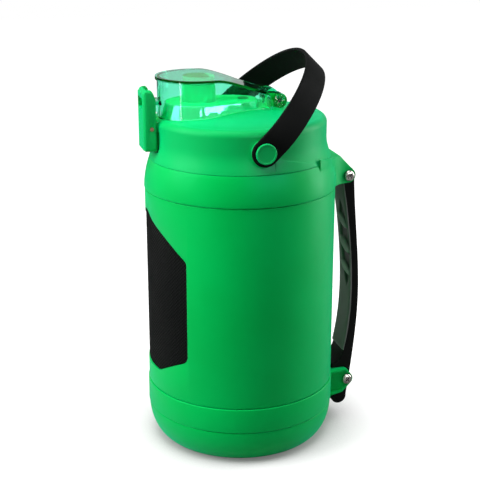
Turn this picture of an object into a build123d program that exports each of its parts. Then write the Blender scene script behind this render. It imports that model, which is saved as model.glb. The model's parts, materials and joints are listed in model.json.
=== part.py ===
from build123d import *
import math
import os

# Insulated half-gallon drinking jug: a foam-filled double wall, a screw-on lid with a flip cover,
# a carrying strap pivoted on the lid and a side handle with a hooked tail.
# Millimetres, +Z up. The origin is the centre of the foot, on the axis of the body.
# -Y is the front (latch and grip pad), +Y is the side handle, the strap pivots on +X and -X.

# --- driving dimensions ---------------------------------------------------------------------
SEAM = 0.3                  # open groove between neighbouring shells
PLAY = 0.4                  # gap kept between pieces of different bodies
BODY_R = 75.0               # outside of the straight body
SHELL_IN_R = 71.2           # inside of the body wall
FOOT_R = 58.5               # radius of the flat foot
CUP_Z = 28.8                # seam between foot and base band
BAND_Z = 49.0               # seam between base band and body
BAND_R = 75.6
COLLAR_Z = 209.3            # seam between body and collar
COLLAR_R = 75.45
RIM_Z = 233.0               # seam between collar and lid
RIM_R = 70.95
LID_R = 67.3                # straight side of the lid
LID_EDGE_Z = 259.4          # where the lid's side starts to round over
LID_TOP_Z = 271.7           # crown of the lid, under its raised seat
SEAT_TOP_Z = 277.0          # flat top of the seat inside the flip cover
SEAT_INSET = 6.2            # from the outline of the cover to the rim of the seat
LINER_R = 58.0              # inside of the food cup
LINER_FLOOR_Z = 16.2
NECK_R = 56.0               # bore of the neck, at the root of its thread
NECK_RIM_Z = 231.2
PLUG_R = 53.2               # body of the lid's threaded plug
PLUG_FLOOR_Z = 206.0
THREAD_PITCH = 6.0
THREAD_TURNS = 1.25
THREAD_Z = 212.0            # start of the lid's thread
GRIP_R = 74.4               # outside of the grip pad
GRIP_FLOOR_R = 72.4         # floor of its recess
SPOUT_Y = -32.6
SPOUT_R = 12.6
SPOUT_TOP_Z = 290.7
COVER_Y = -35.0             # centre of the round front of the cover
COVER_R = 30.0
PLATE_LIP = 0.8             # the top plate stands out over that outline
WALL_INSET = 0.6            # and the walls stand in from it
COVER_TOP_Z = 296.6
COVER_WALL = 1.9
VENT_Y = 2.0
HINGE_Y, HINGE_Z = 27.0, 277.0      # axis of the flip cover
BARREL_R = 5.6
LATCH_Y, LATCH_Z = -71.6, 258.8     # axis of the latch
LATCH_HALF = 12.0                   # half width of the latch
PIN_R = 1.5                         # latch pin
HINGE_PIN_R = 2.0
STRAP_Z = 249.5             # axis of the strap's pivots
STRAP_LEAN = 45.0           # backward lean of the strap at rest, degrees from upright
STRAP_REACH = 79.0          # pivot to the middle of the strap's crown
STRAP_HALF = 10.24          # half width of the strap
STRAP_T = 2.8
STRAP_X = 71.6              # middle of the strap's end, from the axis
RIVET_R = 5.0
HANDLE_HALF = 12.9          # half width of the side handle
EAR_SLOT = 13.3             # half width of the slot between two bracket ears
UPPER_SCREW = (85.0, 214.0)         # y, z
LOWER_SCREW = (88.2, 38.0)
SCREW_R = 2.0
SCREW_SEAT_X = 17.0
RUN = 0.06                  # radial clearance of a running fit


# --- helpers --------------------------------------------------------------------------------
def face_of(*curves):
    """Face bounded by curves that follow each other."""
    return make_face([edge for curve in curves for edge in curve.edges()])


def turned(*curves, arc=360.0):
    """Solid swept about the Z axis by an outline drawn as (radius, height)."""
    return revolve(Plane.XZ * face_of(*curves), Axis.Z, arc)


def ring(*points, arc=360.0):
    """Solid swept about the Z axis by a polygon of (radius, height) points."""
    return turned(Polyline(*points, close=True), arc=arc)


def side_slab(face, x0, x1):
    """Slab with a (y, z) outline, from x0 to x1."""
    return Pos(x0, 0, 0) * extrude(Plane.YZ * face, amount=x1 - x0)


def block(x0, x1, y0, y1, z0, z1):
    return Pos(x0, y0, z0) * Box(x1 - x0, y1 - y0, z1 - z0, align=(Align.MIN, Align.MIN, Align.MIN))


def rod_x(radius, x0, x1, y, z):
    return Pos(x0, y, z) * Rot(0, 90, 0) * Cylinder(
        radius, x1 - x0, align=(Align.CENTER, Align.CENTER, Align.MIN))


def rod_z(radius, z0, z1, x=0.0, y=0.0):
    return Pos(x, y, z0) * Cylinder(radius, z1 - z0, align=(Align.CENTER, Align.CENTER, Align.MIN))


def both_sides(solid):
    """The solid and its mirror image across the YZ plane, as one group."""
    return Compound(children=[*solid.solids(), *mirror(solid, Plane.YZ).solids()])


def thread(root_r, crest_r, z0):
    """One trapezoidal thread ridge that climbs from z0, from root_r to crest_r."""
    path = Helix(THREAD_PITCH, THREAD_PITCH * THREAD_TURNS, root_r, center=(0, 0, z0))
    reach = crest_r - root_r
    sunk = -0.3 * math.copysign(1, reach)
    section = Polyline((sunk, -1.3), (reach, -0.7), (reach, 0.7), (sunk, 1.3), close=True)
    start = Plane(origin=path @ 0, x_dir=(1, 0, 0), z_dir=path % 0)
    return sweep(start * face_of(section), path=path, is_frenet=True)


# --- outlines that several pieces share -------------------------------------------------------
def lid_dome(drop=0.0):
    """Top of the lid from its rounded edge to the axis, as (radius, height)."""
    return Spline(
        (61.8, 265.3 - drop), (51.3, 267.0 - drop), (42.7, 267.9 - drop), (33.4, 269.2 - drop),
        (24.0, 270.6 - drop), (0.0, LID_TOP_Z - drop),
        tangents=((-1, 0.25), (-1, 0)))


def lid_outside(z_low, drop=0.0):
    """Everything under the outer face of the lid, down to z_low."""
    return turned(
        Line((0, z_low), (RIM_R, z_low)),
        Line((RIM_R, z_low), (RIM_R, RIM_Z + 0.2)),
        Spline((RIM_R, RIM_Z + 0.2), (69.2, 238.6), (67.8, 243.8), (LID_R, 250.0),
               tangents=((-0.3, 1), (0, 1))),
        Line((LID_R, 250.0), (LID_R, LID_EDGE_Z - drop)),
        ThreePointArc((LID_R, LID_EDGE_Z - drop), (65.8, 263.6 - drop), (61.8, 265.3 - drop)),
        lid_dome(drop),
        Line((0, LID_TOP_Z - drop), (0, z_low)))


def grip_outline(grow=0.0):
    """Front panel outline, as (x, z); grow moves it outwards by about that much."""
    g = grow
    side = 50.2 + g
    foot = 66.6 - g
    shoulder = (47.0 + 0.7 * g, 81.4 - 0.7 * g)
    knee = (25.0 + 0.5 * g, 69.0 - 0.87 * g)
    right = [
        Spline((0, 194.0 + g), (9.7 + 0.4 * g, 190.6 + 0.9 * g), (26.3 + 0.5 * g, 182.5 + 0.87 * g),
               (39.9 + 0.6 * g, 173.4 + 0.8 * g), (47.4 + 0.7 * g, 166.7 + 0.7 * g), (side, 161.0),
               tangents=((1, 0), (0, -1))),
        Line((side, 161.0), (side, 88.0)),
        ThreePointArc((side, 88.0), (49.4 + 0.9 * g, 84.2 - 0.4 * g), shoulder),
        Line(shoulder, knee),
        ThreePointArc(knee, (21.4 + 0.3 * g, 67.2 - 0.95 * g), (17.5, foot)),
        Line((17.5, foot), (0, foot))]
    left = [mirror(curve, Plane.YZ) for curve in right]
    return face_of(*right, *left)


def cover_plan(inset=0.0):
    """Outline of the flip cover from above: round front, narrow waist, rounded rear."""
    r = COVER_R - inset
    right = [
        ThreePointArc((0, COVER_Y - r), (0.7071 * r, COVER_Y - 0.7071 * r), (r, COVER_Y)),
        Spline((r, COVER_Y), (28.6 - inset, -23), (25.4 - inset, -11), (22.2 - inset, 2), (19.0 - inset, 22),
               tangents=((0, 1), (0, 1))),
        ThreePointArc((19.0 - inset, 22), (16.4 - inset, 29.4 - inset * 0.6), (9.0, 32.6 - inset)),
        Line((9.0, 32.6 - inset), (0, 32.6 - inset))]
    left = [mirror(curve, Plane.YZ) for curve in right]
    return face_of(*right, *left)


def seat_plan(inset):
    """Outline of the raised seat from above: the cover's front and waist, closed behind the waist."""
    r = COVER_R - inset
    waist = 22.4 - inset
    rear = 19.0 - inset
    right = [
        ThreePointArc((0, COVER_Y - r), (0.7071 * r, COVER_Y - 0.7071 * r), (r, COVER_Y)),
        Spline((r, COVER_Y), (28.6 - inset, -23), (25.4 - inset, -11), (waist, 1),
               (0.62 * waist, rear - 3.0), (0, rear), tangents=((0, 1), (-1, 0)))]
    left = [mirror(curve, Plane.YZ) for curve in right]
    return face_of(*right, *left)


def seat(shrink=0.0):
    """Raised seat with sloping flanks; shrink takes it inwards and down."""
    low = Pos(0, 0, 265.0) * seat_plan(2.7 + shrink)
    high = Pos(0, 0, SEAT_TOP_Z - shrink) * seat_plan(SEAT_INSET + shrink)
    return loft([low, high], ruled=True)


def cover_side(drop=0.0):
    """Outline of the flip cover from the side, as (y, z)."""
    top = COVER_TOP_Z - drop
    barrel_top = HINGE_Z + BARREL_R - drop
    return face_of(
        Line((-80, 240), (-80, top)),
        Line((-80, top), (-26, top)),
        Spline((-26, top), (-12.8, 294.2 - drop), (-2, 290.6 - drop), (5.5, 287.8 - drop),
               (14, 285.0 - drop), (HINGE_Y, barrel_top), tangents=((1, 0), (1, 0))),
        ThreePointArc((HINGE_Y, barrel_top), (HINGE_Y + 0.7071 * (BARREL_R - drop),
                                              HINGE_Z + 0.7071 * (BARREL_R - drop)),
                      (HINGE_Y + BARREL_R - drop, HINGE_Z)),
        Line((HINGE_Y + BARREL_R - drop, HINGE_Z), (HINGE_Y + BARREL_R - drop, 240)),
        Line((HINGE_Y + BARREL_R - drop, 240), (-80, 240)))


def strap_band(half):
    """Loop of the carrying strap in its own plane, as (x, reach from the pivots)."""
    def side(offset):
        x = STRAP_X + offset
        top = STRAP_REACH + offset
        end = Line((x, -STRAP_HALF - 1), (x, 8))
        bow = Bezier((x, 8), (x + 2.9, 30), (47.0 + 0.6 * offset, top), (0, top))
        return end, bow
    outer, inner = side(half), side(-half)
    right = [*outer, *inner,
             Line((STRAP_X + half, -STRAP_HALF - 1), (STRAP_X - half, -STRAP_HALF - 1))]
    left = [mirror(curve, Plane.YZ) for curve in right]
    return face_of(*right, *left)


# --- body -----------------------------------------------------------------------------------
def make_base_cup():
    top = CUP_Z - SEAM
    cup = turned(
        Polyline((0, 3.0), (50.0, 3.0), (52.0, 0), (FOOT_R, 0)),
        EllipticalCenterArc((FOOT_R, top), 16.6, top, start_angle=270, arc_size=90),
        Polyline((FOOT_R + 16.6, top), (72.6, top), (72.6, 33.0), (70.0, 33.0), (70.0, 28.0)),
        Spline((70.0, 28.0), (66.8, 13.5), (57.0, 5.8), tangents=((0, -1), (-1, 0))),
        Polyline((57.0, 5.8), (0, 5.8), (0, 3.0)))
    return cup


def ear_wedge(outline_face, *edge):
    """Bracket body: a side outline cut to a wedge whose +X edge, from root to tip, runs through edge."""
    root, tip = edge[0], edge[-1]
    slab = side_slab(outline_face, -root[0] - 2, root[0] + 2)
    right = [Line((0, 50), (root[0], 50)), Line((root[0], 50), root), Spline(*edge), Line(tip, (0, tip[1]))]
    left = [mirror(curve, Plane.YZ) for curve in right]
    return slab & extrude(face_of(*right, *left), amount=300)


def make_base_band():
    """Ring with the lower bracket: two ears beside the handle's end."""
    side = make_hull(
        (Pos(88.2, 38.1) * Circle(5.3) + Pos(85.2, 42.4) * Circle(5.1) + Pos(81.4, 32.2) * Circle(5.6)
         + Pos(71.0, 36.4) * Rectangle(2.0, 21.6)).edges())
    bracket = ear_wedge(side, (20.5, 74.0), (18.4, 84.5), (16.9, 95.0))
    ears = bracket - block(-EAR_SLOT, EAR_SLOT, 75.9, 120, 0, 80)
    dish = side_slab(offset(side, -2.0), 16.7, 30)
    dish += rod_x(4.9, 16.7, 30, *LOWER_SCREW)
    ears -= dish + mirror(dish, Plane.YZ)
    low, high = CUP_Z, BAND_Z - SEAM
    band = ring((70.0, low), (BAND_R - 0.5, low), (BAND_R, low + 0.5), (BAND_R, high - 0.5),
                (BAND_R - 0.5, high), (70.0, high))
    bore = rod_z(72.75, 0, 42.1) + rod_z(73.65, 42.1, high)
    under = rod_z(BAND_R - 0.1, 0, low)
    over = rod_z(BAND_R, high, 80)
    y, z = LOWER_SCREW
    return (band + ears) - bore - under - over - rod_x(SCREW_R + 0.2, -40, 40, y, z)


def make_collar():
    """Shoulder ring with the upper bracket and the raised lip beside the lid."""
    low, high = COLLAR_Z + SEAM / 2, RIM_Z - SEAM / 2
    body = turned(
        Polyline((60.0, low), (74.9, low), (COLLAR_R, low + 0.6)),
        ThreePointArc((COLLAR_R, low + 0.6), (73.9, 222.5), (RIM_R, high)),
        Polyline((RIM_R, high), (60.0, high), (60.0, low)))
    lip = ring((70.9, 224.0), (73.0, 224.0), (72.4, 229.2), (72.4, 237.5), (72.0, 237.9),
               (RIM_R + PLAY, 237.9), (RIM_R + PLAY, high - 0.6), (70.9, high - 0.6), arc=27.0)
    lip = Rot(0, 0, 41.5) * lip
    above = Polyline((40, 239.8), (66, 232.7), (70, 232.7), (70, 245), (40, 245), close=True)
    lip -= side_slab(face_of(above), 0, 80)
    side = make_hull(
        (Pos(*UPPER_SCREW) * Circle(5.9) + Pos(61.0, 220.1) * Rectangle(20.0, 23.4)
         + Pos(74.6, 229.6) * Circle(2.2)).edges())
    ears = ear_wedge(side, (40.0, 60.2), (28.5, 67.6), (20.5, 75.5), (16.6, 83.5), (15.9, 91.5))
    ears -= block(-EAR_SLOT, EAR_SLOT, 76.2, 120, 180, 260)
    seat = rod_x(5.2, SCREW_SEAT_X, 40, *UPPER_SCREW)
    ears -= seat + mirror(seat, Plane.YZ)
    bore = (rod_z(73.15, low, 216.2) + rod_z(70.8, 216.2, 226.0)
            + ring((0, 226.0), (70.8, 226.0), (68.6, 230.0), (68.6, high), (0, high)))
    under = rod_z(BODY_R + SEAM, 180, low)
    y, z = UPPER_SCREW
    return (body + lip + mirror(lip, Plane.YZ) + ears) - bore - under - rod_x(SCREW_R + 0.2, -40, 40, y, z)


def make_outer_shell():
    low, high = BAND_Z + SEAM / 2, COLLAR_Z - SEAM / 2
    shell = ring((SHELL_IN_R, 42.3), (73.5, 42.3), (73.5, low), (BODY_R - 0.5, low), (BODY_R, low + 0.5),
                 (BODY_R, high - 0.6), (BODY_R - 0.6, high), (73.0, high), (73.0, 216.0),
                 (SHELL_IN_R, 216.0))
    recess = extrude(Plane.XZ * grip_outline(0.6), amount=90)
    recess &= ring((GRIP_FLOOR_R, 50), (90, 50), (90, 205), (GRIP_FLOOR_R, 205))
    return shell - recess


def make_grip_pad():
    pad = extrude(Plane.XZ * grip_outline(), amount=90)
    return pad & ring((GRIP_FLOOR_R, 50), (GRIP_R, 50), (GRIP_R, 205), (GRIP_FLOOR_R, 205))


def make_inner_liner():
    wall = LINER_R + 2.0
    cup = turned(
        Polyline((0, LINER_FLOOR_Z - 2.2), (54.0, LINER_FLOOR_Z - 2.2)),
        ThreePointArc((54.0, LINER_FLOOR_Z - 2.2), (58.24, 15.76), (wall, 20.0)),
        Polyline((wall, 20.0), (wall, 227.0), (68.3, 227.0), (68.3, NECK_RIM_Z), (NECK_R, NECK_RIM_Z),
                 (NECK_R, 203.0), (LINER_R, 200.0), (LINER_R, 20.2)),
        ThreePointArc((LINER_R, 20.2), (56.83, 17.37), (54.0, LINER_FLOOR_Z)),
        Polyline((54.0, LINER_FLOOR_Z), (0, LINER_FLOOR_Z), (0, LINER_FLOOR_Z - 2.2)))
    return cup + thread(NECK_R, 54.0, THREAD_Z + THREAD_PITCH / 2)


def make_foam():
    """Foam between the liner and the outer shells."""
    return turned(
        Line((0, 6.0), (57.0, 6.0)),
        Spline((57.0, 6.0), (66.4, 13.8), (69.7, 28.0), tangents=((1, 0), (0, 1))),
        Polyline((69.7, 28.0), (69.7, 33.3), (72.5, 33.3), (72.5, 42.0), (71.0, 42.0), (71.0, 216.0),
                 (70.6, 216.0), (70.6, 225.9), (69.9, 226.8), (60.2, 226.8), (60.2, 20.0)),
        ThreePointArc((60.2, 20.0), (58.38, 15.62), (54.0, 13.8)),
        Polyline((54.0, 13.8), (0, 13.8), (0, 6.0)))


# --- side handle ----------------------------------------------------------------------------
def grip_face(shift):
    """Finger side of the handle, from its foot up to the upper bracket, as (y, z)."""
    return Spline((86.4 - shift, 62.5), (88.3 - shift, 72.0), (91.3 - shift, 97.0), (91.9 - shift, 114.0),
                  (90.5 - shift, 147.0), (86.6 - shift, 182.0), (82.6 - shift, 206.5))


def make_side_handle():
    face = face_of(
        ThreePointArc((79.3, 215.5), (85.2, 220.3), (91.0, 214.0)),
        Spline((91.0, 214.0), (92.8, 184.5), (96.2, 145.0), (97.5, 106.0), (95.5, 73.0), (92.6, 46.6),
               (89.3, 22.0)),
        ThreePointArc((89.3, 22.0), (82.9, 14.4), (76.4, 21.5)),
        Line((76.4, 21.5), (76.4, 49.6)),
        Spline((76.4, 49.6), (82.4, 53.8), (86.4, 62.5)),
        grip_face(0.0),
        Line((82.6, 206.5), (79.3, 215.5)))
    bar = side_slab(face, -HANDLE_HALF, HANDLE_HALF)
    for y, z in (UPPER_SCREW, LOWER_SCREW):
        bar -= rod_x(SCREW_R, 3.5, 20, y, z) + rod_x(SCREW_R, -20, -3.5, y, z)
    return bar


def make_handle_pad():
    """Soft pad on the finger side, with a long dish across its middle."""
    face = face_of(
        grip_face(0.0),
        Line((86.4, 62.5), (84.9, 63.4)),
        Spline((84.9, 63.4), (86.7, 72.5), (89.6, 97.0), (90.2, 114.0), (88.8, 147.0), (85.0, 182.0),
               (81.4, 205.9)),
        Line((81.4, 205.9), (82.6, 206.5)))
    return side_slab(face, -HANDLE_HALF, HANDLE_HALF)


def make_screws(y, z):
    """A pair of cross-head screws, one through each ear into the handle."""
    head = turned(
        Polyline((0, 0), (4.4, 0), (4.4, 0.8)),
        ThreePointArc((4.4, 0.8), (3.4, 1.9), (1.6, 2.4)),
        Polyline((1.6, 2.4), (0, 2.4), (0, 0)))
    for turn in (0, 90):
        head -= Rot(0, 0, turn) * Pos(0, 0, 2.0) * Box(4.6, 0.9, 2.2)
    screw = Pos(SCREW_SEAT_X, y, z) * Rot(45, 0, 0) * Rot(0, 90, 0) * head
    screw += rod_x(SCREW_R, 4.0, SCREW_SEAT_X, y, z)
    return both_sides(screw)


# --- lid ------------------------------------------------------------------------------------
def make_lid_shell():
    skirt_z = RIM_Z + SEAM / 2
    solid = lid_outside(skirt_z) + seat()
    hollow = turned(
        Line((0, skirt_z), (68.4, skirt_z)),
        Spline((68.4, skirt_z), (66.4, 239.6), (65.0, 245.0), (64.5, 251.0), tangents=((-0.2, 1), (0, 1))),
        Line((64.5, 251.0), (64.5, 257.5)),
        ThreePointArc((64.5, 257.5), (63.2, 261.0), (60.0, 262.6)),
        Spline((60.0, 262.6), (45.0, 265.0), (34.0, 266.4), (24.0, 267.8), (0, LID_TOP_Z - 2.8),
               tangents=((-1, 0.2), (-1, 0))),
        Line((0, LID_TOP_Z - 2.8), (0, skirt_z)))
    shell = solid - hollow - seat(2.6)
    shell += solid & block(-21.5, 21.5, 19.0, 35.0, 264.5, 276.0)

    # sunk place behind the latch
    pocket = block(-LATCH_HALF - 0.7, LATCH_HALF + 0.7, -90, -61.8, 240.2, 256.4)
    shell += solid & block(-LATCH_HALF - 2.5, LATCH_HALF + 2.5, -70, -59.9, 238.3, 262.0)
    shell -= pocket

    # latch lugs, at the inside of the latch's cheeks
    lug = make_hull((Pos(LATCH_Y, LATCH_Z) * Circle(2.8) + Pos(-64.5, 259.4) * Rectangle(3.0, 8.0)).edges())
    lug = side_slab(lug, 5.9, 9.0)
    shell += lug + mirror(lug, Plane.YZ)
    shell -= rod_x(PIN_R, -20, 20, LATCH_Y, LATCH_Z)

    # hinge lug and the trough that the cover's barrel turns in
    trough = rod_x(BARREL_R + 0.5, -19.6, 19.6, HINGE_Y, HINGE_Z)
    shell -= trough
    lug = Pos(HINGE_Y, HINGE_Z) * Circle(4.8) + Pos(HINGE_Y, 267.4) * Rectangle(13, 3)
    hinge_lug = make_hull(lug.edges())
    shell += side_slab(hinge_lug, -6.4, 6.4)
    shell -= rod_x(HINGE_PIN_R + RUN, -20, 20, HINGE_Y, HINGE_Z)

    # bosses for the strap's rivets
    boss = rod_x(9.4, 61.0, 69.8, 0, STRAP_Z) - rod_x(3.6, 62.0, 80, 0, STRAP_Z)
    well = rod_x(3.6, 62.0, 80, 0, STRAP_Z)
    shell = shell - well - mirror(well, Plane.YZ) + boss + mirror(boss, Plane.YZ)

    # proud ramps on the skirt, sloping down to the collar's lip
    ramp = turned(
        Polyline((67.0, skirt_z), (RIM_R + 0.3, skirt_z)),
        Spline((RIM_R + 0.3, skirt_z), (69.9, 238.6), (68.5, 243.8), (68.0, 247.0),
               tangents=((-0.3, 1), (0, 1))),
        Polyline((68.0, 247.0), (67.0, 247.0), (67.0, skirt_z)), arc=31.3)
    ramp = Rot(0, 0, 7.0) * ramp
    above = Polyline((0, 245.6), (46, 235.6), (46, 260), (0, 260), close=True)
    ramp -= side_slab(face_of(above), 30, 80)
    shell += ramp + mirror(ramp, Plane.YZ)

    shell -= rod_z(SPOUT_R + 0.1, 250, 290, 0, SPOUT_Y)
    shell -= rod_z(2.5, 250, 290, 0, VENT_Y)
    return shell


def make_lid_plug():
    """Underside of the lid: threaded cup, sealing flange and vent tube."""
    plug = ring((0, PLUG_FLOOR_Z), (PLUG_R - 1.5, PLUG_FLOOR_Z), (PLUG_R, PLUG_FLOOR_Z + 1.5),
                (PLUG_R, 235.2),
                (62.4, 235.2), (62.4, 233.4), (64.0, 233.4), (64.0, 235.2), (66.6, 235.2), (66.6, 237.4),
                (51.0, 237.4), (51.0, PLUG_FLOOR_Z + 2.4), (0, PLUG_FLOOR_Z + 2.4))
    plug += thread(PLUG_R, 55.3, THREAD_Z)
    plug += rod_z(4.0, PLUG_FLOOR_Z, SEAT_TOP_Z - 3.0, 0, VENT_Y)
    plug -= rod_z(2.4, PLUG_FLOOR_Z - 1, 280, 0, VENT_Y)
    plug -= rod_z(9.9, PLUG_FLOOR_Z - 1, PLUG_FLOOR_Z + 3, 0, SPOUT_Y)
    return plug


def make_lid_foam():
    foam = turned(
        Polyline((0, 208.6), (50.8, 208.6), (50.8, 237.6), (63.0, 237.6), (63.0, 256.5)),
        ThreePointArc((63.0, 256.5), (62.1, 259.4), (59.0, 260.8)),
        Spline((59.0, 260.8), (45.0, 263.5), (34.0, 264.9), (24.0, 266.3), (0, 267.4),
               tangents=((-1, 0.2), (-1, 0))),
        Line((0, 267.4), (0, 208.6)))
    foam += seat(3.6)
    foam -= rod_z(4.2, 200, 280, 0, VENT_Y)
    foam -= rod_z(SPOUT_R + 3.0, 259.5, 280, 0, SPOUT_Y) + rod_z(10.0, 200, 260, 0, SPOUT_Y)
    foam -= block(-LATCH_HALF - 2.8, LATCH_HALF + 2.8, -90, -59.6, 230, 280)
    foam -= block(-22, 22, 18.5, 35.5, 263.9, 280)
    foam -= rod_x(9.7, 60.7, 80, 0, STRAP_Z) + rod_x(9.7, -80, -60.7, 0, STRAP_Z)
    return foam


def make_lid_gasket():
    low, high = NECK_RIM_Z + 0.3, 235.2 - 0.3
    return ring((56.8, low), (61.6, low), (62.0, low + 0.6), (62.0, high), (56.4, high), (56.4, low + 0.6))


def make_spout():
    spout = ring((8.0, 205.6), (9.8, 205.6), (9.8, 260.0), (15.0, 260.0), (15.0, 262.2), (SPOUT_R, 262.2),
                 (SPOUT_R, 287.0), (SPOUT_R - 0.6, SPOUT_TOP_Z - 0.7), (SPOUT_R - 1.4, SPOUT_TOP_Z),
                 (9.9, SPOUT_TOP_Z), (9.4, SPOUT_TOP_Z - 0.6), (9.4, 264.0), (8.0, 261.0))
    return Pos(0, SPOUT_Y, 0) * spout


def make_vent_valve():
    top = SEAT_TOP_Z + 0.1
    valve = ring((0, 269.0), (1.2, 269.0), (2.3, 271.5), (2.3, top), (4.4, top), (3.9, top + 0.7),
                 (0, top + 1.1))
    return Pos(0, VENT_Y, 0) * valve


# --- flip cover -----------------------------------------------------------------------------
def cover_inside():
    """Hollow of the flip cover."""
    hollow = extrude(cover_plan(WALL_INSET + COVER_WALL), amount=320) & side_slab(cover_side(2.2), -50, 50)
    return hollow & block(-50, 50, -80, 19.5, 200, 320)


def make_flip_cover():
    side = side_slab(cover_side(), -50, 50)
    plate = extrude(cover_plan(-PLATE_LIP), amount=320) & side & block(-50, 50, -80, 17, 270, 320)
    plate -= side_slab(cover_side(2.4), -50, 50)
    outside = (extrude(cover_plan(WALL_INSET), amount=320) & side) + plate
    inside = cover_inside()
    cover = outside - inside - Pos(0, 0, 0.6) * lid_outside(200)
    # behind the hinge only the barrel is left, so that the cover can swing back
    cover -= block(-30, 30, 21.4, 40, 240, HINGE_Z)
    cover += rod_x(BARREL_R, -17.5, 17.5, HINGE_Y, HINGE_Z)
    cover -= block(-6.9, 6.9, 19.5, 40, 260, 300)
    cover -= rod_x(HINGE_PIN_R, -15.6, 15.6, HINGE_Y, HINGE_Z)
    # catch tongue on the front wall, level with the latch's window
    tongue = block(-8.5, 8.5, -74.2, COVER_Y - COVER_R + 2.2, 276.1, 279.3)
    for x in (-7.0, 7.0):
        rib = face_of(Polyline((-64.0, 268.0), (-72.6, 276.2), (-64.0, 276.2), close=True))
        tongue += side_slab(rib, x - 1, x + 1)
    return cover + tongue


def make_spout_seal():
    under = COVER_TOP_Z - 2.2
    seal = ring((0, SPOUT_TOP_Z - 2.4), (7.8, SPOUT_TOP_Z - 2.4), (8.5, SPOUT_TOP_Z - 1.6),
                (8.5, SPOUT_TOP_Z + 0.5),
                (SPOUT_R - 0.6, SPOUT_TOP_Z + 0.5), (SPOUT_R - 0.6, under), (0, under))
    return Pos(0, SPOUT_Y, 0) * seal & cover_inside()


# --- latch ----------------------------------------------------------------------------------
def make_latch_lever():
    front, back = -77.2, -68.3
    side = face_of(
        Line((front, 243.0), (front, 283.0)),
        ThreePointArc((front, 283.0), (-76.1, 286.9), (-73.4, 288.3)),
        Spline((-73.4, 288.3), (-70.6, 286.6), (-68.6, 281.5), (back, 276.0), tangents=((1, 0), (0, -1))),
        Line((back, 276.0), (back, 241.2)),
        Line((back, 241.2), (-75.4, 241.2)),
        ThreePointArc((-75.4, 241.2), (-76.7, 241.7), (front, 243.0)))
    lever = side_slab(side, -LATCH_HALF, LATCH_HALF)
    lever -= block(-9.4, 9.4, front + 2.4, -60, 230, 300)
    lever -= block(-8.8, 8.8, -90, -70, 273.6, 281.6)
    boss = rod_x(2.9, LATCH_HALF - 1, LATCH_HALF + 0.5, LATCH_Y, LATCH_Z)
    lever += boss + mirror(boss, Plane.YZ)
    return lever - rod_x(PIN_R + RUN, -20, 20, LATCH_Y, LATCH_Z)


def make_latch_spring():
    """Torsion spring round the latch pin: coil with a leg to the lever and a leg to the lid."""
    wire, coil_r, turns = 0.4, 2.35, 5
    path = Helix(1.0, turns * 1.0, coil_r, center=(0, 0, -turns / 2))
    start = Plane(origin=path @ 0, x_dir=(1, 0, 0), z_dir=path % 0)
    coil = sweep(start * Circle(wire), path=path, is_frenet=True)
    coil = Pos(0, LATCH_Y, LATCH_Z) * Rot(0, 90, 0) * coil
    return coil


# --- carrying strap -------------------------------------------------------------------------
def make_bail_strap():
    band = extrude(Plane.XZ * strap_band(STRAP_T / 2), amount=STRAP_HALF, both=True)
    ends = side_slab(Circle(STRAP_HALF) + Pos(0, 60) * Rectangle(2 * STRAP_HALF, 120), -100, 100)
    band &= ends
    band -= rod_x(RIVET_R + RUN, -100, 100, 0, 0)
    return Pos(0, 0, STRAP_Z) * Rot(-STRAP_LEAN, 0, 0) * band


def make_rivet():
    """Strap rivet on +X: post in the lid, bearing shoulder and dished cap."""
    rivet = ring((0, 62.2), (3.6, 62.2), (3.6, 69.8), (RIVET_R, 69.8), (RIVET_R, 73.4), (7.8, 73.4),
                 (7.8, 74.6),
                 (7.3, 75.2), (6.7, 75.2), (6.2, 74.7), (0, 74.9))
    return Pos(0, 0, STRAP_Z) * Rot(0, 90, 0) * rivet


right_rivet = make_rivet()
parts = {
    "base_cup": make_base_cup(),
    "base_band": make_base_band(),
    "outer_shell": make_outer_shell(),
    "collar": make_collar(),
    "grip_pad": make_grip_pad(),
    "inner_liner": make_inner_liner(),
    "foam_insulation": make_foam(),
    "side_handle": make_side_handle(),
    "handle_pad": make_handle_pad(),
    "upper_handle_screws": make_screws(*UPPER_SCREW),
    "lower_handle_screws": make_screws(*LOWER_SCREW),
    "lid_shell": make_lid_shell(),
    "lid_plug": make_lid_plug(),
    "lid_foam": make_lid_foam(),
    "lid_gasket": make_lid_gasket(),
    "spout": make_spout(),
    "vent_valve": make_vent_valve(),
    "flip_cover": make_flip_cover(),
    "cover_hinge_pin": rod_x(HINGE_PIN_R, -15.5, 15.5, HINGE_Y, HINGE_Z),
    "spout_seal": make_spout_seal(),
    "latch_lever": make_latch_lever(),
    "latch_pin": rod_x(PIN_R, -LATCH_HALF - 0.4, LATCH_HALF + 0.4, LATCH_Y, LATCH_Z),
    "latch_spring": make_latch_spring(),
    "bail_strap": make_bail_strap(),
    "strap_rivet_right": right_rivet,
    "strap_rivet_left": mirror(right_rivet, Plane.YZ),
}

os.makedirs("parts", exist_ok=True)
for name, shape in parts.items():
    export_step(shape, f"parts/{name}.step")
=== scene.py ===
# %% [markdown]
# # An insulated jug, dressed in Blender
# The jug is a foam-filled double wall with a screw-on lid, a clear flip cover, a carrying strap
# and a side handle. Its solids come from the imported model, in metres, and stay where they are.
# Everything made here is placed from that frame, so nothing is fitted by eye afterwards.

# %% Load the fixed frame
import json
import math

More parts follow.
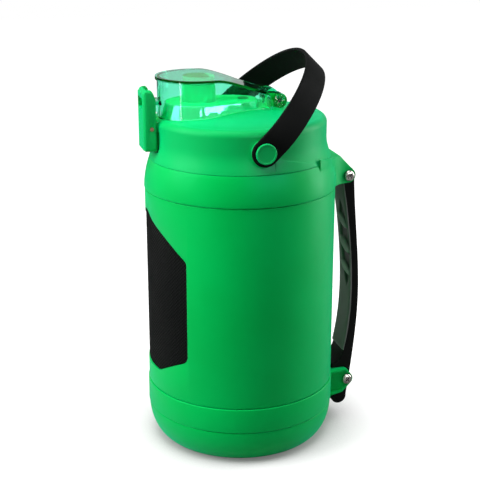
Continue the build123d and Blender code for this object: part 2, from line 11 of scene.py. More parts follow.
import bmesh
import bpy
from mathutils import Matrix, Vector

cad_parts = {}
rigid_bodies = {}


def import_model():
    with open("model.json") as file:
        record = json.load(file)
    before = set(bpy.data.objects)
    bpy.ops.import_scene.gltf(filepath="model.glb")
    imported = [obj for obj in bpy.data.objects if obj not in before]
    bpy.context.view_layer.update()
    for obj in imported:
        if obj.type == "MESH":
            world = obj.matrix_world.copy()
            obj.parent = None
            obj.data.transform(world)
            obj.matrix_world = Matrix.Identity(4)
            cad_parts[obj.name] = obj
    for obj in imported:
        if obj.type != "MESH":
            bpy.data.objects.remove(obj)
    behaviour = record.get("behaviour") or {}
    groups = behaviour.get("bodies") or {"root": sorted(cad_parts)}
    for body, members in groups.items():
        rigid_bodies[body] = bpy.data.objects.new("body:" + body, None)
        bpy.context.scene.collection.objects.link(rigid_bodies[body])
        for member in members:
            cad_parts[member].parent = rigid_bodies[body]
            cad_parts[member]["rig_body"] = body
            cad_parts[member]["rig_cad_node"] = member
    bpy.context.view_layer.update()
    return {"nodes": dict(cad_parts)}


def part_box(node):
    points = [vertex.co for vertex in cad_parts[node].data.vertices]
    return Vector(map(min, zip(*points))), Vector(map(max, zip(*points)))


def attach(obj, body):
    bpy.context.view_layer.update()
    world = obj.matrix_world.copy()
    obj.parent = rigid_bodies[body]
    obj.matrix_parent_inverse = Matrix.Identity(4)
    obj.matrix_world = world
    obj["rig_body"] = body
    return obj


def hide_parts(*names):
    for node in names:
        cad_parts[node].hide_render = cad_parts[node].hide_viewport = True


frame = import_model()
nodes = frame["nodes"]

# %% [markdown]
# ## The camera
# A long lens, 84.64 mm on a 36 mm sensor, stands 0.97 m from the jug, so the round body keeps its
# shape. The tripod is a little above the lid, and the camera tips down to the jug's middle.

# %% Camera
MM = 0.001
CAMERA_PLACE = (0.8331, -0.2232, 0.4366)
CAMERA_TILT = math.radians(72.353)
CAMERA_TURN = math.radians(75)

lens = bpy.data.cameras.new("camera")
lens.lens = 84.64
lens.sensor_width = 36.0
lens.clip_start = 0.01
camera = bpy.data.objects.new("camera", lens)
camera.location = CAMERA_PLACE
camera.rotation_euler = (CAMERA_TILT, 0, CAMERA_TURN)
bpy.context.scene.collection.objects.link(camera)
bpy.context.scene.camera = camera
bpy.context.scene.view_settings.view_transform = "Standard"
print("camera", [round(v, 3) for v in camera.location])

# %% [markdown]
# ## Light
# Product light is a few large soft boxes. One tall box on the latch side models the round body,
# a narrower one behind the handle draws its far edge, and a wide one overhead lights the lid.
# Large boxes give soft shadows and long, calm reflections on satin plastic. Two narrow cards
# light nothing by themselves and only show as reflections: one in the polished seat under the
# clear cover, the other low on the body.


# %% Soft boxes
def softbox(name, bearing, distance, height, size, watts, colour=(1, 1, 1)):
    """A rectangular lamp that looks at the jug's middle; bearing 0 is the camera's side."""
    lamp = bpy.data.lights.new(name, "AREA")
    lamp.shape = "RECTANGLE"
    lamp.size, lamp.size_y = size
    lamp.energy = watts
    lamp.color = colour
    stand = bpy.data.objects.new(name, lamp)
    turn = CAMERA_TURN - math.pi / 2 + math.radians(bearing)
    stand.location = (distance * math.cos(turn), distance * math.sin(turn), height)
    aim = Vector((0, 0, 0.16)) - Vector(stand.location)
    stand.rotation_euler = aim.to_track_quat("-Z", "Y").to_euler()
    bpy.context.scene.collection.objects.link(stand)
    return stand


softbox("left_box", -72, 0.9, 0.75, (0.6, 0.9), 15.0)
softbox("right_box", 104, 0.9, 0.45, (0.35, 0.9), 7.0)
softbox("top_box", -20, 0.25, 1.15, (0.8, 0.8), 8.0)
for name, bearing, distance, height, size, watts in (
        ("seat_card", 37, 1.20, 0.69, (1.0, 0.13), 14.0),
        ("corner_card", -44, 0.75, 0.06, (0.03, 0.30), 0.3)):
    card = softbox(name, bearing, distance, height, size, watts)
    card.visible_diffuse = False

# %% [markdown]
# ## World and floor
# The world is a plain grey that fills the shadows. What the camera sees of it, directly or
# through the clear cover, is white paper; what a glossy surface mirrors is a dimmer studio.
# The floor is the same paper. It stays a matt surface that takes the jug's shadow, and its own
# glow is held back where the jug stands over it, which Ambient Occlusion measures: a painted
# contact shadow.


# %% World
def light_path(tree, *kinds):
    """1 for rays of these kinds, which show the surroundings, 0 for rays that only carry light."""
    path = tree.nodes.new("ShaderNodeLightPath")
    found = path.outputs[kinds[0]]
    for kind in kinds[1:]:
        larger = tree.nodes.new("ShaderNodeMath")
        larger.operation = "MAXIMUM"
        tree.links.new(found, larger.inputs[0])
        tree.links.new(path.outputs[kind], larger.inputs[1])
        found = larger.outputs[0]
    return found


SEEN = ("Is Camera Ray", "Is Transmission Ray")
STUDIO_FILL = 0.10
STUDIO_MIRRORED = 0.45
world = bpy.data.worlds.new("studio")
bpy.context.scene.world = world
world.use_nodes = True
sky = world.node_tree
sky.nodes.clear()
fill = sky.nodes.new("ShaderNodeBackground")
fill.inputs["Color"].default_value = (1, 1, 1, 1)
paper = sky.nodes.new("ShaderNodeBackground")
paper.inputs["Color"].default_value = (1, 1, 1, 1)
paper.inputs["Strength"].default_value = 1.0
choose = sky.nodes.new("ShaderNodeMixShader")
sky_out = sky.nodes.new("ShaderNodeOutputWorld")
mirrored = sky.nodes.new("ShaderNodeMath")
mirrored.operation = "MULTIPLY_ADD"
mirrored.inputs[1].default_value = STUDIO_MIRRORED - STUDIO_FILL
mirrored.inputs[2].default_value = STUDIO_FILL
sky.links.new(light_path(sky, "Is Glossy Ray"), mirrored.inputs[0])
sky.links.new(mirrored.outputs[0], fill.inputs["Strength"])
sky.links.new(light_path(sky, *SEEN), choose.inputs["Fac"])
sky.links.new(fill.outputs[0], choose.inputs[1])
sky.links.new(paper.outputs[0], choose.inputs[2])
sky.links.new(choose.outputs[0], sky_out.inputs["Surface"])
print("world fill", STUDIO_FILL, "in reflections", STUDIO_MIRRORED, "behind the jug", 1.0)

# %% Floor
bpy.ops.object.select_all(action="DESELECT")
bpy.ops.mesh.primitive_plane_add(size=6.0, location=(0, 0, 0))
floor = bpy.context.object
floor.name = "floor"
paint = bpy.data.materials.new("studio_floor")
paint.use_nodes = True
tree = paint.node_tree
tree.nodes.clear()
matt = tree.nodes.new("ShaderNodeBsdfDiffuse")
matt.inputs["Color"].default_value = (0.35, 0.35, 0.35, 1)
under = tree.nodes.new("ShaderNodeAmbientOcclusion")
under.samples = 16
under.inputs["Distance"].default_value = 0.09
# painted contact shadow: the floor's glow drops where Ambient Occlusion finds the jug close by
contact_shadow_glow = tree.nodes.new("ShaderNodeMapRange")
contact_shadow_glow.inputs["From Min"].default_value = 0.35
contact_shadow_glow.inputs["From Max"].default_value = 0.95
contact_shadow_glow.inputs["To Min"].default_value = 0.15
contact_shadow_glow.inputs["To Max"].default_value = 1.0
glow = tree.nodes.new("ShaderNodeEmission")
lift = tree.nodes.new("ShaderNodeMath")
lift.operation = "MULTIPLY"
together = tree.nodes.new("ShaderNodeAddShader")
surface = tree.nodes.new("ShaderNodeOutputMaterial")
tree.links.new(under.outputs["AO"], contact_shadow_glow.inputs["Value"])
tree.links.new(contact_shadow_glow.outputs[0], lift.inputs[0])
tree.links.new(light_path(tree, *SEEN), lift.inputs[1])
tree.links.new(lift.outputs[0], glow.inputs["Strength"])
tree.links.new(matt.outputs[0], together.inputs[0])
tree.links.new(glow.outputs[0], together.inputs[1])
tree.links.new(together.outputs[0], surface.inputs["Surface"])
floor.data.materials.append(paint)
print("floor", tuple(floor.dimensions))

# %% [markdown]
# ## Finishes
# Nearly every shell is injection-moulded and satin: an even colour with a faint mottle, a fine
# skin from the mould, and edges that are never quite sharp. Two noises give mottle and skin in
# the jug's own metres, and a small Bevel node softens what the mesh leaves crisp.


# %% Material helpers
def new_material(name):
    """A node material with its Principled shader and output."""
    made = bpy.data.materials.new(name)
    made.use_nodes = True
    return made, made.node_tree, made.node_tree.nodes["Principled BSDF"]


def noise(tree, scale, detail=2.0, stretch=(1, 1, 1)):
    """Noise in the piece's own coordinates, as a factor from 0 to 1."""
    place = tree.nodes.new("ShaderNodeTexCoord")
    mapping = tree.nodes.new("ShaderNodeMapping")
    mapping.inputs["Scale"].default_value = stretch
    cloud = tree.nodes.new("ShaderNodeTexNoise")
    cloud.inputs["Scale"].default_value = scale
    cloud.inputs["Detail"].default_value = detail
    tree.links.new(place.outputs["Object"], mapping.inputs["Vector"])
    tree.links.new(mapping.outputs[0], cloud.inputs["Vector"])
    return cloud.outputs["Fac"]


def between(tree, factor, low, high):
    """A number that moves from low to high with the factor."""
    spread = tree.nodes.new("ShaderNodeMapRange")
    spread.inputs["From Min"].default_value = 0.3
    spread.inputs["From Max"].default_value = 0.7
    spread.inputs["To Min"].default_value = low
    spread.inputs["To Max"].default_value = high
    tree.links.new(factor, spread.inputs["Value"])
    return spread.outputs[0]


def two_tone(tree, factor, dark, light):
    """A colour that moves from dark to light with the factor."""
    ramp = tree.nodes.new("ShaderNodeValToRGB")
    ramp.color_ramp.elements[0].position = 0.35
    ramp.color_ramp.elements[0].color = (*dark, 1)
    ramp.color_ramp.elements[1].position = 0.65
    ramp.color_ramp.elements[1].color = (*light, 1)
    tree.links.new(factor, ramp.inputs["Fac"])
    return ramp.outputs["Color"]


def skin(tree, shader, height, depth, edge):
    """Bump from a height, over edges rounded by the Bevel node."""
    bump = tree.nodes.new("ShaderNodeBump")
    bump.inputs["Strength"].default_value = 1.0
    bump.inputs["Distance"].default_value = depth
    tree.links.new(height, bump.inputs["Height"])
    if edge > 0:
        soft = tree.nodes.new("ShaderNodeBevel")
        soft.samples = 4
        soft.inputs["Radius"].default_value = edge
        tree.links.new(soft.outputs[0], bump.inputs["Normal"])
    tree.links.new(bump.outputs[0], shader.inputs["Normal"])


print("helpers ready")


# %% Moulded plastic and rubber
def moulded(name, dark, light, rough=(0.34, 0.42), gloss=0.5, grain=1400, depth=4e-6, edge=0.0003):
    """Satin moulded plastic or rubber: mottled colour, uneven gloss, fine skin, soft edges."""
    made, tree, shader = new_material(name)
    tree.links.new(two_tone(tree, noise(tree, 14, 3), dark, light), shader.inputs["Base Color"])
    tree.links.new(between(tree, noise(tree, 60, 3), *rough), shader.inputs["Roughness"])
    skin(tree, shader, noise(tree, grain, 1), depth, edge)
    shader.inputs["IOR"].default_value = 1.49
    shader.inputs["Specular IOR Level"].default_value = gloss
    return made, shader


def green_plastic(name, dark, light, gloss, rough):
    """The jug's green. Its sheen and its gloss are tinted, so lit sides go mint, never white."""
    made, shader = moulded(name, dark, light, rough, gloss)
    shader.inputs["Specular Tint"].default_value = (0.05, 0.85, 0.62, 1)
    shader.inputs["Sheen Weight"].default_value = 0.45
    shader.inputs["Sheen Roughness"].default_value = 0.5
    shader.inputs["Sheen Tint"].default_value = (0.0, 1.0, 0.62, 1)
    return made


body_green = green_plastic("satin_green_body", (0.0, 0.42, 0.054), (0.0, 0.46, 0.066), 0.25, (0.38, 0.46))
# painted sheen: the lid's base colour carries more blue than the body's, and the seat's and spout's more
# still, for the mint wash of the overhead light
lid_green = green_plastic("satin_green_lid", (0.0, 0.41, 0.075), (0.0, 0.45, 0.090), 0.25, (0.42, 0.50))
polished_green = green_plastic("polished_green", (0.0, 0.37, 0.135), (0.0, 0.41, 0.155), 1.0, (0.05, 0.08))
spout_green = green_plastic("satin_green_spout", (0.0, 0.37, 0.135), (0.0, 0.41, 0.155), 0.3, (0.38, 0.46))
# a polished mould leaves almost no skin, and a harder gloss over the colour
polished_tree = polished_green.node_tree
polished_tree.nodes["Bump"].inputs["Distance"].default_value = 5e-7
lacquer = polished_tree.nodes["Principled BSDF"].inputs
for quality, amount in (("Coat Weight", 1.0), ("Coat Roughness", 0.03), ("Coat IOR", 2.0)):
    lacquer[quality].default_value = amount
for finish, tint in ((lid_green, (0.25, 0.95, 0.70, 1)), (polished_green, (1, 1, 1, 1))):
    finish.node_tree.nodes["Principled BSDF"].inputs["Specular Tint"].default_value = tint
print("made", body_green.name, lid_green.name, polished_green.name, spout_green.name)

# %% Black plastic, rubbers, foam and silicone
black, _ = moulded("satin_black", (0.004, 0.0044, 0.0044), (0.007, 0.0074, 0.0074), gloss=0.06)
strap_black, _ = moulded("strap_black", (0.004, 0.0048, 0.0045), (0.007, 0.0078, 0.0075),
                         rough=(0.46, 0.56), gloss=0.02, grain=900, depth=8e-6)
grip_rubber, _ = moulded("knurled_rubber", (0.003, 0.0036, 0.0034), (0.005, 0.0058, 0.0055),
                         rough=(0.42, 0.52), gloss=0.05, depth=6e-6)
pad_rubber, pad_shader = moulded("pad_rubber", (0.145, 0.135, 0.145), (0.185, 0.175, 0.185),
                                 rough=(0.40, 0.50), gloss=0.3, depth=8e-6)
liner_white, _ = moulded("liner_white", (0.68, 0.70, 0.69), (0.76, 0.78, 0.77), rough=(0.35, 0.45))
foam_cream, _ = moulded("foam_cream", (0.62, 0.55, 0.36), (0.75, 0.68, 0.47), rough=(0.85, 0.95),
                        grain=350, depth=4e-4)
silicone, _ = moulded("silicone", (0.55, 0.58, 0.57), (0.62, 0.65, 0.64), rough=(0.45, 0.55))
# painted light: the seal's pale colour lifts the shade it sits in under the cover's plate
seal_green, _ = moulded("green_seal", (0.18, 0.70, 0.44), (0.22, 0.76, 0.48), rough=(0.45, 0.55))
valve_rubber, _ = moulded("valve_rubber", (0.0, 0.16, 0.03), (0.0, 0.20, 0.04), rough=(0.5, 0.6))
# the pad's raised leaves get a painted highlight, a lighter grey, and the bottom of its hollow gets
# painted shade, near black
pad_tree = pad_rubber.node_tree
layer = pad_shader.inputs["Base Color"].links[0].from_socket
for zone, tone in (("leaf", (0.36, 0.34, 0.36, 1)), ("hollow", (0.004, 0.004, 0.005, 1))):
    share = pad_tree.nodes.new("ShaderNodeAttribute")
    share.attribute_name = zone
    mixed = pad_tree.nodes.new("ShaderNodeMix")
    mixed.data_type = "RGBA"
    mixed.inputs["B"].default_value = tone
    pad_tree.links.new(share.outputs["Fac"], mixed.inputs["Factor"])
    pad_tree.links.new(layer, mixed.inputs["A"])
    layer = mixed.outputs["Result"]
pad_tree.links.new(layer, pad_shader.inputs["Base Color"])
print("rubbers and inner pieces:", grip_rubber.name, pad_rubber.name, foam_cream.name)


# %% Metals
def metal(name, colour, rough, stretch):
    """Plated or drawn metal with fine marks along one direction, and painted shade darkening its recesses.
    """
    made, tree, shader = new_material(name)
    shader.inputs["Metallic"].default_value = 1.0
    dark = tuple(0.82 * c for c in colour)
    marks = noise(tree, 700, 2, stretch)
    # painted shade: Ambient Occlusion darkens the colour in recesses
    recess_shade = tree.nodes.new("ShaderNodeAmbientOcclusion")
    recess_shade.inputs["Distance"].default_value = 2.5 * MM
    tree.links.new(two_tone(tree, marks, dark, colour), recess_shade.inputs["Color"])
    tree.links.new(recess_shade.outputs["Color"], shader.inputs["Base Color"])
    tree.links.new(between(tree, marks, rough - 0.06, rough + 0.06), shader.inputs["Roughness"])
    skin(tree, shader, marks, 3e-6, 0.0)
    return made


plated_steel = metal("plated_steel", (0.42, 0.41, 0.38), 0.24, (1, 1, 1))
pin_steel = metal("pin_steel", (0.70, 0.70, 0.69), 0.18, (0.05, 1, 1))
pin_brass = metal("pin_brass", (0.24, 0.14, 0.09), 0.5, (1, 1, 1))
spring_wire = metal("spring_wire", (0.60, 0.60, 0.58), 0.25, (1, 1, 1))
print("metals:", plated_steel.name, pin_steel.name, pin_brass.name, spring_wire.name)

# %% [markdown]
# ## Clear green plastic
# The flip cover is see-through. A plain tinted glass would be equally green everywhere, but on
# the real one thin walls look pale and edges look dark, because light is absorbed along its way.
# So the surface carries only a pale mint tint and most of the colour comes from a Volume Absorption
# inside.


# %% Clear plastic
def clear_green(name):
    """Polished tinted plastic whose colour deepens with the way light goes through it."""
    made, tree, shader = new_material(name)
    shader.inputs["Base Color"].default_value = (0.70, 1.0, 0.90, 1)
    shader.inputs["Transmission Weight"].default_value = 1.0
    shader.inputs["IOR"].default_value = 1.49
    shader.inputs["Specular IOR Level"].default_value = 0.25
    tree.links.new(between(tree, noise(tree, 40, 2), 0.0, 0.03), shader.inputs["Roughness"])
    skin(tree, shader, noise(tree, 900, 2), 8e-6, 0.0)
    inside = tree.nodes.new("ShaderNodeVolumeAbsorption")
    inside.inputs["Color"].default_value = (0.0, 0.86, 0.68, 1)
    inside.inputs["Density"].default_value = 300.0
    out = tree.nodes["Material Output"]
    tree.links.new(inside.outputs[0], out.inputs["Volume"])
    # light that crosses the cover on its way to a lamp keeps a green tint
    pass_on = tree.nodes.new("ShaderNodeBsdfTransparent")
    pass_on.inputs["Color"].default_value = (0.15, 0.82, 0.60, 1)
    mix = tree.nodes.new("ShaderNodeMixShader")
    tree.links.new(light_path(tree, "Is Shadow Ray"), mix.inputs["Fac"])
    tree.links.new(shader.outputs[0], mix.inputs[1])
    tree.links.new(pass_on.outputs[0], mix.inputs[2])
    tree.links.new(mix.outputs[0], out.inputs["Surface"])
    return made


cover_plastic = clear_green("clear_green")
print("made", cover_plastic.name)

# %% [markdown]
# ## Dress the inner solids
# Pieces that nobody sees closely, or whose solid already has its full shape, keep their mesh
# and only get a finish, by assigning to their material slots.

# %% Finish of every node
finishes = {
    body_green: ["outer_shell", "base_cup", "base_band", "collar"],
    lid_green: ["lid_shell", "latch_lever", "strap_rivet_right", "strap_rivet_left"],
    spout_green: ["spout"],
    cover_plastic: ["flip_cover"],
    black: ["side_handle"],
    strap_black: ["bail_strap"],
    grip_rubber: ["grip_pad"],
    pad_rubber: ["handle_pad"],
    liner_white: ["inner_liner", "lid_plug"],
    foam_cream: ["foam_insulation", "lid_foam"],
    silicone: ["lid_gasket"],
    seal_green: ["spout_seal"],
    valve_rubber: ["vent_valve"],
    plated_steel: ["upper_handle_screws", "lower_handle_screws"],
    pin_steel: ["cover_hinge_pin"],
    pin_brass: ["latch_pin"],
    spring_wire: ["latch_spring"],
}
finish_of = {}
for finish, names in finishes.items():
    for name in names:
        finish_of[name] = finish
        for place in nodes[name].material_slots:
            place.material = finish
print("dressed", len(finish_of), "nodes")

# %% [markdown]
# ## Moulded edges
# A moulded shell has no sharp edge: the tool's corners leave a round of half a millimetre or
# more, which catches a thin line of light. A solid's mesh is loose triangles, so a copy is
# merged, its flat triangles are dissolved back to whole faces, and a Bevel modifier rounds every
# edge that turns by more than 35 degrees. The copy then stands in for the solid.


def only(piece):
    """Makes this piece the only selected and the active one."""
    bpy.ops.object.select_all(action="DESELECT")
    piece.select_set(True)
    bpy.context.view_layer.objects.active = piece


def apply(piece, modifier):
    """Applies a modifier as its panel's Apply does."""
    only(piece)
    bpy.ops.object.modifier_apply(modifier=modifier.name)


def merged_copy(node, name):
    """A copy of a solid's mesh with its triangles joined, free of the frame."""
    only(nodes[node])
    bpy.ops.object.duplicate()
    piece = bpy.context.object
    piece.name = name
    piece.data = piece.data.copy()
    piece.parent = None
    del piece["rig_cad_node"]
    bpy.ops.object.mode_set(mode="EDIT")
    bpy.ops.mesh.select_all(action="SELECT")
    bpy.ops.mesh.remove_doubles(threshold=1e-5)
    bpy.ops.object.mode_set(mode="OBJECT")
    return piece


def whole_faces(piece):
    """Dissolves the triangulation of flat and nearly flat stretches."""
    only(piece)
    bpy.ops.object.mode_set(mode="EDIT")
    bpy.ops.mesh.select_all(action="SELECT")
    bpy.ops.mesh.dissolve_limited(angle_limit=math.radians(0.4))
    bpy.ops.object.mode_set(mode="OBJECT")


def bevel_edges(piece, chosen, offset, segments):
    """Bevels in edit mode the edges for which chosen(edge) is true."""
    only(piece)
    bpy.ops.object.mode_set(mode="EDIT")
    bpy.ops.mesh.select_mode(type="EDGE")
    bpy.ops.mesh.select_all(action="DESELECT")
    edit = bmesh.from_edit_mesh(piece.data)
    for edge in edit.edges:
        edge.select_set(bool(chosen(edge)))
    edit.select_flush_mode()
    print(piece.name, "bevels", sum(edge.select for edge in edit.edges), "edges")
    bmesh.update_edit_mesh(piece.data)
    bpy.ops.mesh.bevel(offset=offset, segments=segments, affect="EDGES", clamp_overlap=True)
    bpy.ops.mesh.select_mode(type="VERT")
    bpy.ops.object.mode_set(mode="OBJECT")


def soften(piece, width, segments=2):
    """Rounds every edge that turns by more than 35 degrees."""
    round_over = piece.modifiers.new("edges", "BEVEL")
    round_over.width = width
    round_over.segments = segments
    round_over.limit_method = "ANGLE"
    round_over.angle_limit = math.radians(35)
    round_over.miter_outer = "MITER_ARC"
    apply(piece, round_over)


def stand_in(piece, *names):
    """Gives a finished piece its shading, finish and body, and hides the solids it stands for."""
    only(piece)
    bpy.ops.object.shade_smooth_by_angle(angle=math.radians(35))
    for place in piece.material_slots:
        place.material = finish_of[names[0]]
    if not piece.material_slots:
        piece.data.materials.append(finish_of[names[0]])
    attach(piece, nodes[names[0]]["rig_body"])
    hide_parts(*names)
    shape = bmesh.new()
    shape.from_mesh(piece.data)
    loose = sum(not edge.is_manifold for edge in shape.edges)
    print(piece.name, len(shape.faces), "faces,", loose, "open edges")
    shape.free()
    return piece


def softened(node, name, width, segments=2):
    """A softened copy of a solid, finished and standing in for it."""
    piece = merged_copy(node, name)
    whole_faces(piece)
    soften(piece, width, segments)
    return stand_in(piece, node)


# %% Shells
for node, name, round_mm, segments in (("outer_shell", "body_shell", 0.9, 3),
                                       ("collar", "shoulder_collar", 0.8, 3),
                                       ("base_band", "foot_band", 0.6, 2),
                                       ("base_cup", "foot_cup", 0.6, 2),
                                       ("spout", "drink_spout", 0.4, 2)):
    softened(node, name, round_mm * MM, segments)

# %% [markdown]
# ## Lid and clear cover
# Under the clear cover the lid rises in a seat. Its sloping flank gets a polished finish, which
# mirrors the seat card as a white crescent. Its rim is rounded by several millimetres, so the
# rim's edges are bevelled on their own, before the fine bevel of all the others. The cover's
# hinge barrel is moulded with a star of slots in each end, which keeps its thick end from
# shrinking; three short bars, turned about the barrel's axis, cut them. Weighted Normal lets the
# cover's walls shade as flat as they are, so that the light goes through them without bends.


# %% Rounded seat on the lid
SEAT_RIM_Z = 277.0
SEAT_ROUND = 7.0 * MM
SEAT_FOOT_Z = 266.0
SEAT_HALF_WIDTH = 27 * MM
SEAT_BACK = 16 * MM


def on_seat_rim(edge):
    """Whether an edge lies between the seat's flat top and its flank."""
    level = all(abs(vertex.co.z / MM - SEAT_RIM_Z) < 0.05 for vertex in edge.verts)
    return level and sum(0.05 < face.normal.z < 0.6 for face in edge.link_faces) == 1


lid = merged_copy("lid_shell", "lid_cap")
whole_faces(lid)
bevel_edges(lid, on_seat_rim, SEAT_ROUND, 12)
soften(lid, 0.5 * MM)
lid.data.materials.append(polished_green)
polished = 0
for face in lid.data.polygons:
    seat_side = SEAT_FOOT_Z < face.center.z / MM < SEAT_RIM_Z + 0.2 and face.normal.z < 0.985
    if seat_side and abs(face.center.x) < SEAT_HALF_WIDTH and face.center.y < SEAT_BACK:
        face.material_index = 1
        polished += 1
stand_in(lid, "lid_shell")
lid.material_slots[1].material = polished_green
print("polished faces", polished)


# %% Clear cover with its star-ended barrel
def carve(piece, tool, operation):
    """A Boolean with a throw-away tool."""
    cut = piece.modifiers.new("carve", "BOOLEAN")
    cut.operation = operation
    cut.solver = "EXACT"
    cut.object = tool
    apply(piece, cut)
    bpy.data.objects.remove(tool)


STAR_BAR = (2.4 * MM, 8.6 * MM, 1.2 * MM)
STAR_END = 17.5 * MM
STAR_TURN = 15
cover = merged_copy("flip_cover", "clear_flip_cover")
whole_faces(cover)
soften(cover, 0.5 * MM)
only(cover)
bpy.ops.object.mode_set(mode="EDIT")
bpy.ops.mesh.select_all(action="SELECT")
bpy.ops.mesh.quads_convert_to_tris()
bpy.ops.object.mode_set(mode="OBJECT")
barrel_y = sum(corner[1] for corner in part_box("cover_hinge_pin")) / 2
barrel_z = sum(corner[2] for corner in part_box("cover_hinge_pin")) / 2
for end in (-1, 1):
    for turn in (0, 60, 120):
        bpy.ops.object.select_all(action="DESELECT")
        bpy.ops.mesh.primitive_cube_add(size=1.0)
        bar = bpy.context.object
        bar.scale = STAR_BAR
        bar.rotation_euler = (math.radians(turn + STAR_TURN), 0, 0)
        bar.location = (end * STAR_END, barrel_y, barrel_z)
        bpy.ops.object.transform_apply()
        carve(cover, bar, "DIFFERENCE")
stand_in(cover, "flip_cover")
calm = cover.modifiers.new("calm", "WEIGHTED_NORMAL")
calm.keep_sharp = True
apply(cover, calm)

# %% Handle, strap and small hardware
for node, name, round_mm, segments in (("side_handle", "carry_handle", 1.3, 3),
                                       ("bail_strap", "carry_strap", 0.7, 3),
                                       ("strap_rivet_right", "rivet_cap_right", 0.4, 3),
                                       ("strap_rivet_left", "rivet_cap_left", 0.4, 3),
                                       ("upper_handle_screws", "upper_screws", 0.15, 2),
                                       ("lower_handle_screws", "lower_screws", 0.15, 2)):
    softened(node, name, round_mm * MM, segments)

# %% [markdown]
# ## Knurled grip
# The rubber grip is covered in small diamond pyramids. Cut one by one they would never line up,
# so the pattern is made flat and then wrapped. A square grid is stood on its corner, so that
# its cells are diamonds, trimmed to a rectangle, and Poke raises a point in every cell. Simple
# Deform bends the sheet round the body, Solidify gives the rubber its thickness, and a Boolean
# with the solid pad, made proud on its outside, trims the sheet to the pad's outline.

# %% Flat knurled sheet
DIAMOND = 2.8 * MM
KNURL_RISE = 0.6 * MM
KNURL_ROOT = 73.9 * MM
GRIP_MIDDLE = 130.4 * MM
GRIP_THICKNESS = 3 * MM
cell = DIAMOND / math.sqrt(2)
rows = 94
bpy.ops.object.select_all(action="DESELECT")
bpy.ops.mesh.primitive_grid_add(x_subdivisions=rows, y_subdivisions=rows, size=rows * cell)
knurl = bpy.context.object
knurl.name = "knurled_grip"
for turn in ((math.radians(90), 0, 0), (0, math.radians(45), 0)):
    knurl.rotation_euler = turn
    bpy.ops.object.transform_apply(location=False, rotation=True, scale=False)
knurl.location = (0, 0, GRIP_MIDDLE)
bpy.ops.object.transform_apply(location=True, rotation=False, scale=False)
bpy.ops.object.mode_set(mode="EDIT")
HALF_SHEET = (60 * MM, 66 * MM)
for along, side in ((0, -1), (0, 1), (2, -1), (2, 1)):
    normal = [0, 0, 0]
    normal[along] = side
    place = [0, 0, GRIP_MIDDLE]
    place[along] += side * HALF_SHEET[along // 2]
    bpy.ops.mesh.select_all(action="SELECT")
    bpy.ops.mesh.bisect(plane_co=place, plane_no=normal, clear_outer=True)
bpy.ops.mesh.select_all(action="SELECT")
bpy.ops.mesh.poke(offset=KNURL_RISE)
bpy.ops.object.mode_set(mode="OBJECT")
print("knurled sheet", len(knurl.data.polygons), "faces")

# %% Wrap it and trim it
wrap = knurl.modifiers.new("wrap", "SIMPLE_DEFORM")
wrap.deform_method = "BEND"
wrap.deform_axis = "Z"
wrap.angle = 2 * HALF_SHEET[0] / KNURL_ROOT
apply(knurl, wrap)
knurl.location = (0, -KNURL_ROOT, 0)
bpy.ops.object.transform_apply(location=True, rotation=False, scale=False)
rubber = knurl.modifiers.new("rubber", "SOLIDIFY")
rubber.thickness = GRIP_THICKNESS
rubber.offset = -1
apply(knurl, rubber)
outline = merged_copy("grip_pad", "grip_outline")
bpy.ops.object.mode_set(mode="EDIT")
bpy.ops.mesh.select_all(action="DESELECT")
edit = bmesh.from_edit_mesh(outline.data)
for vertex in edit.verts:
    vertex.select_set(math.hypot(vertex.co.x, vertex.co.y) > 73.4 * MM)
edit.select_flush_mode()
bmesh.update_edit_mesh(outline.data)
bpy.ops.transform.translate(value=(0, -4 * MM, 0))
bpy.ops.object.mode_set(mode="OBJECT")
trim = knurl.modifiers.new("trim", "BOOLEAN")
trim.operation = "INTERSECT"
trim.solver = "EXACT"
trim.object = outline
apply(knurl, trim)
bpy.data.objects.remove(outline)
stand_in(knurl, "grip_pad")
only(knurl)
bpy.ops.object.shade_flat()

# %% [markdown]
# ## Latch
# The latch is a thick lever with a window, and its two front corners are rounded far more than
# its other edges. A box with those two edges rounded is made first, and the lever is kept only
# where it lies inside that box. The fine bevel comes last, as on the other pieces.

# %% Latch lever
LATCH_BOX = (24 * MM, 34.8 * MM, 47.1 * MM)
LATCH_MIDDLE = (0, -60.6 * MM, 264.75 * MM)
LATCH_CORNER = 3.0 * MM
LATCH_CROWN = 0.8 * MM
bpy.ops.object.select_all(action="DESELECT")
bpy.ops.mesh.primitive_cube_add(size=1.0)
corners = bpy.context.object
corners.scale = LATCH_BOX
corners.location = LATCH_MIDDLE
bpy.ops.object.transform_apply(location=True, rotation=False, scale=True)


def corner_of_latch(edge):
    """The upright edges in front, and the ones that run back from the top and bottom corners."""
    one, other = (vertex.co for vertex in edge.verts)
    upright = abs(one.z - other.z) > 1 * MM
    return abs(one.y - other.y) > 1 * MM or (upright and one.y < -77 * MM)


bevel_edges(corners, corner_of_latch, LATCH_CORNER, 6)
latch = merged_copy("latch_lever", "latch_tab")
for vertex in latch.data.vertices:
    if vertex.co.y < -77.1 * MM:
        vertex.co.y -= LATCH_CROWN
carve(latch, corners, "INTERSECT")
whole_faces(latch)
soften(latch, 0.8 * MM, 3)
stand_in(latch, "latch_lever")

# %% [markdown]
# ## Finger pad
# The finger side of the handle carries a soft grey pad. A long hollow runs down it, and three
# slanting leaves stand in the hollow so that fingers don't slide. Such a relief is sculpted: a
# fine grid is laid over the pad and each point is pushed in or out by a height that smooth
# steps describe. The grid gets the pad's thickness and is trimmed with the solid pad.


# %% Relief of the finger pad
def step(low, high, value):
    """0 below low, 1 above high, and a smooth way between."""
    t = min(max((value - low) / (high - low), 0.0), 1.0)
    return t * t * (3 - 2 * t)


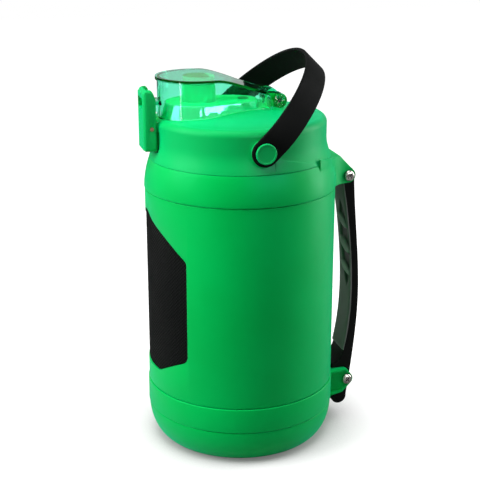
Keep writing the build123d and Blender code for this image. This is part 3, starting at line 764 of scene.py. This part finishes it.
def lens_height(x, z, centre, half, slant):
    """1 in the middle of a slanted lens, 0 outside it; half is its half length and half width."""
    turn = math.radians(slant)
    dx, dz = x - centre[0], z - centre[1]
    along = (dx * math.cos(turn) + dz * math.sin(turn)) / half[0]
    across = (dz * math.cos(turn) - dx * math.sin(turn)) / (half[1] * max(1e-3, 1 - along * along))
    return (1 - step(0.45, 1.0, abs(across))) * (1 - step(0.8, 1.0, abs(along)))


LEAVES = [((0.5, 172.5), (11.0, 6.2), -22), ((1.5, 152.0), (12.5, 7.0), -20),
          ((1.5, 132.0), (11.5, 5.4), -19)]


def relief(x, z):
    """How far the pad's face stands out, in mm, and how much leaf and how much hollow it is."""
    deep = lens_height(z, x, (153.8, 3.0), (39.0, 11.6), -3)
    leaf = max(lens_height(x, z, *shape) for shape in LEAVES)
    rounded = 0.55 * step(11.6, 12.9, abs(x)) ** 2
    return -1.25 * deep * (1 - leaf) + 0.6 * leaf - rounded, leaf, deep * (1 - leaf)


print("relief in the hollow and on a leaf", relief(5.0, 163.0)[0], relief(-2.0, 152.0)[0])

# %% Sculpt the pad
HANDLE_HALF = 12.9
PAD_ENDS = (64.0, 205.0)
PAD_MIDDLE = 134.6 * MM
PAD_THICKNESS = 4 * MM
bpy.ops.object.select_all(action="DESELECT")
bpy.ops.mesh.primitive_grid_add(x_subdivisions=56, y_subdivisions=300, size=1.0)
pad = bpy.context.object
pad.name = "finger_pad"
pad.scale = (2.1 * HANDLE_HALF * MM, 150 * MM, 1)
pad.rotation_euler = (math.radians(90), 0, 0)
pad.location = (0, 80 * MM, PAD_MIDDLE)
bpy.ops.object.transform_apply()
solid_pad = merged_copy("handle_pad", "pad_outline")
whole_faces(solid_pad)


def face_at(z):
    """The pad's own face at this height in mm, found with a ray towards the solid pad."""
    level = min(max(z, PAD_ENDS[0]), PAD_ENDS[1]) * MM
    return solid_pad.ray_cast((0, 60 * MM, level), (0, 1, 0))[1].y / MM


# the leaf and hollow shares also place the pad's painted highlight and painted shade
for zone in ("leaf", "hollow"):
    pad.data.attributes.new(zone, "FLOAT", "POINT")
for number, vertex in enumerate(pad.data.vertices):
    height, leaf, hollow = relief(vertex.co.x / MM, vertex.co.z / MM)
    vertex.co.y = (face_at(vertex.co.z / MM) - height) * MM
    pad.data.attributes["leaf"].data[number].value = leaf
    pad.data.attributes["hollow"].data[number].value = hollow
thick = pad.modifiers.new("thick", "SOLIDIFY")
thick.thickness = PAD_THICKNESS
thick.offset = -1
apply(pad, thick)
print("sculpted pad", len(pad.data.polygons), "faces")

# %% Trim the pad to its solid
near_face = [v.co.y / MM < face_at(v.co.z / MM) + 0.5 for v in solid_pad.data.vertices]
only(solid_pad)
bpy.ops.object.mode_set(mode="EDIT")
bpy.ops.mesh.select_all(action="DESELECT")
edit = bmesh.from_edit_mesh(solid_pad.data)
for vertex, near in zip(edit.verts, near_face):
    vertex.select_set(near)
edit.select_flush_mode()
bmesh.update_edit_mesh(solid_pad.data)
bpy.ops.transform.translate(value=(0, -2 * MM, 0))
bpy.ops.object.mode_set(mode="OBJECT")
carve(pad, solid_pad, "INTERSECT")
stand_in(pad, "handle_pad")
